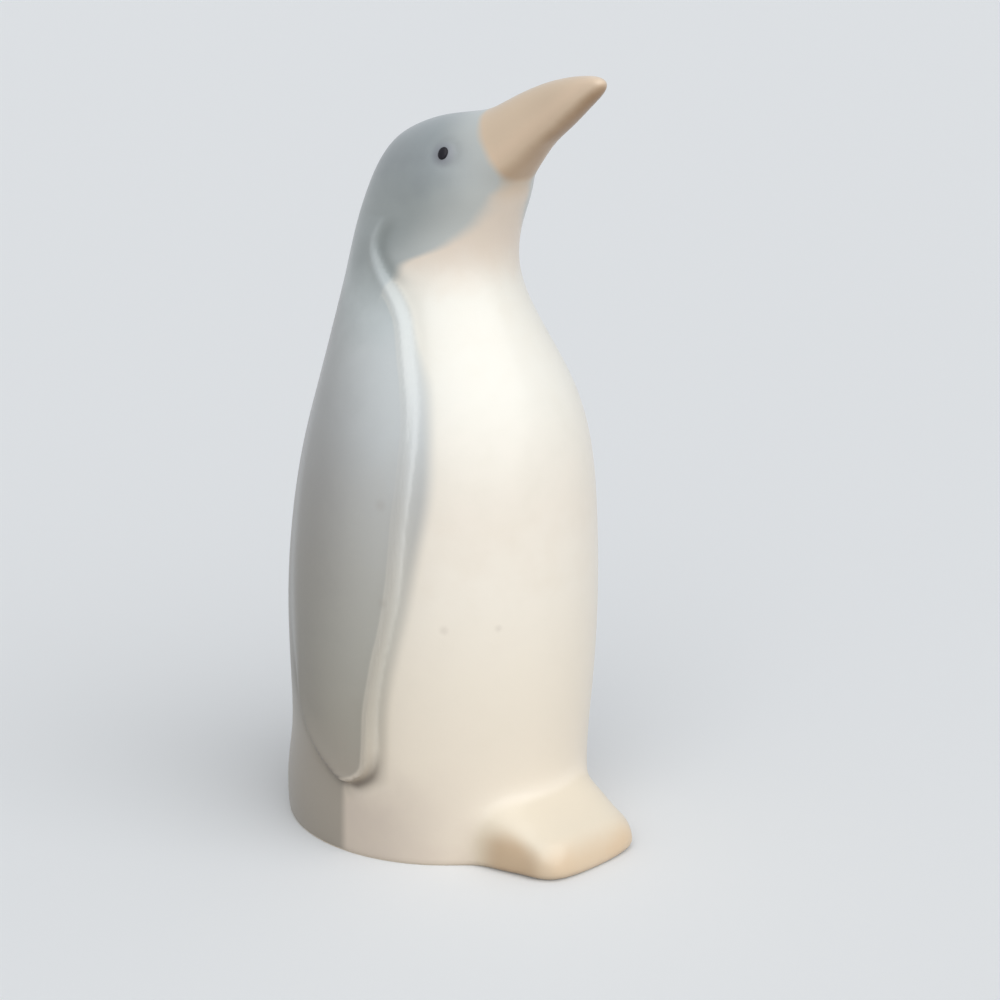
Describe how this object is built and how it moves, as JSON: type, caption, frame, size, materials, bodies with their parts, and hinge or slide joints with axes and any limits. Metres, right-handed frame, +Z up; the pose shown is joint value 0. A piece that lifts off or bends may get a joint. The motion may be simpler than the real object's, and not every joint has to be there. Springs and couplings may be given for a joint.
{
  "type": "penguin figurine",
  "caption": "Standing porcelain penguin figurine with a raised beak, wings in low relief, short feet and a closed base; it stands free on a flat foot ring.",
  "frame": {"origin": "on the ground, midway between the toes and the tail, on the plane of symmetry", "axes": "+Z up, the beak and toes point to -Y, the bird's right side is at -X"},
  "size_m": [0.0672, 0.0858, 0.1595],
  "materials": {
    "body_glaze": "satin glaze, cream white on the belly and grey on the back",
    "head_glaze": "satin glaze, soft blue-grey cap with a pale throat",
    "beak_glaze": "satin glaze, pale tan",
    "wing_glaze": "satin glaze, pale blue-grey",
    "foot_glaze": "satin glaze, cream with a warm toe edge",
    "bisque": "unglazed, matt",
    "eye_enamel": "glossy, near black"
  },
  "bodies": {
    "root": {"body_shell": "body_glaze", "head_shell": "head_glaze", "beak": "beak_glaze", "right_wing": "wing_glaze", "left_wing": "wing_glaze", "feet": "foot_glaze", "tail": "wing_glaze", "base_disc": "bisque", "right_eye": "eye_enamel", "left_eye": "eye_enamel"}
  },
  "joints": []
}
